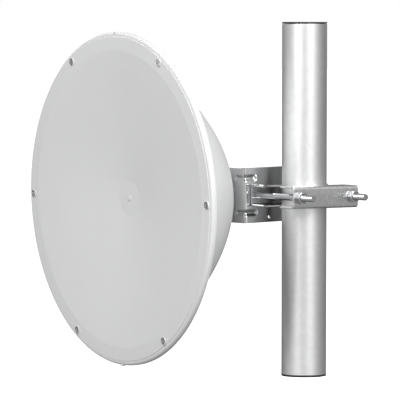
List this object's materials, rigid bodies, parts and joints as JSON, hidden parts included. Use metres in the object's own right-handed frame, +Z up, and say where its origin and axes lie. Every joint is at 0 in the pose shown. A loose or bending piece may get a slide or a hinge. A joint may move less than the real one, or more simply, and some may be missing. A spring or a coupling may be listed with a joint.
{
  "type": "parabolic dish antenna on a mast clamp",
  "caption": "Parabolic dish antenna with a flat white radome, a bent steel bracket and a bolted channel clamp on a short length of round mast.",
  "frame": {"origin": "centre of the mast's flat foot, where the mast stands on what holds it", "axes": "+Z up along the mast, -Y the way the dish looks, +X from the dish's axis towards the mast and the outer jaw"},
  "size_m": [0.4, 0.2534, 0.425],
  "materials": {
    "galvanised_mast": "dull galvanised tube",
    "plate_steel": "satin pressed sheet steel",
    "zinc_plate": "bright zinc plated",
    "stainless": "stainless screw",
    "bowl_paint": "light grey paint on spun aluminium",
    "cover_plastic": "matte light grey moulding",
    "black_plastic": "matte black moulding",
    "turned_aluminium": "turned",
    "plated_brass": "nickel plated"
  },
  "bodies": {
    "mast": {"mast_tube": "galvanised_mast", "mast_top_plug": "black_plastic", "mast_foot_plug": "black_plastic"},
    "clamp": {"jaw_inner": "plate_steel", "jaw_outer": "plate_steel", "clamp_bolt_front": "zinc_plate", "clamp_bolt_rear": "zinc_plate", "clamp_nut_front": "zinc_plate", "clamp_nut_rear": "zinc_plate", "clamp_washer_front": "zinc_plate", "clamp_washer_rear": "zinc_plate"},
    "antenna": {"mount_bracket": "plate_steel", "reflector_dish": "bowl_paint", "radome_cover": "cover_plastic", "cover_screw_1": "stainless", "cover_screw_2": "stainless", "cover_screw_3": "stainless", "cover_screw_4": "stainless", "cover_screw_5": "stainless", "cover_screw_6": "stainless", "drain_plug_top": "cover_plastic", "drain_plug_bottom": "cover_plastic", "seat_bolt_1": "zinc_plate", "seat_bolt_2": "zinc_plate", "seat_bolt_3": "zinc_plate", "seat_bolt_4": "zinc_plate", "seat_nut_1": "zinc_plate", "seat_nut_2": "zinc_plate", "seat_nut_3": "zinc_plate", "seat_nut_4": "zinc_plate", "feed_hub": "turned_aluminium", "feed_socket": "plated_brass", "feed_pin": "plated_brass"}
  },
  "joints": [
    {"name": "azimuth_turn", "type": "hinge", "parent": "mast", "child": "clamp", "pos_m": [0, 0, 0.2165], "axis": [0, 0, 1], "range_deg": [-180, 180]},
    {"name": "elevation_tilt", "type": "hinge", "parent": "clamp", "child": "antenna", "pos_m": [-0.0478, -0.0385, 0.2165], "axis": [1, 0, 0], "range_deg": [-11, 8]}
  ]
}
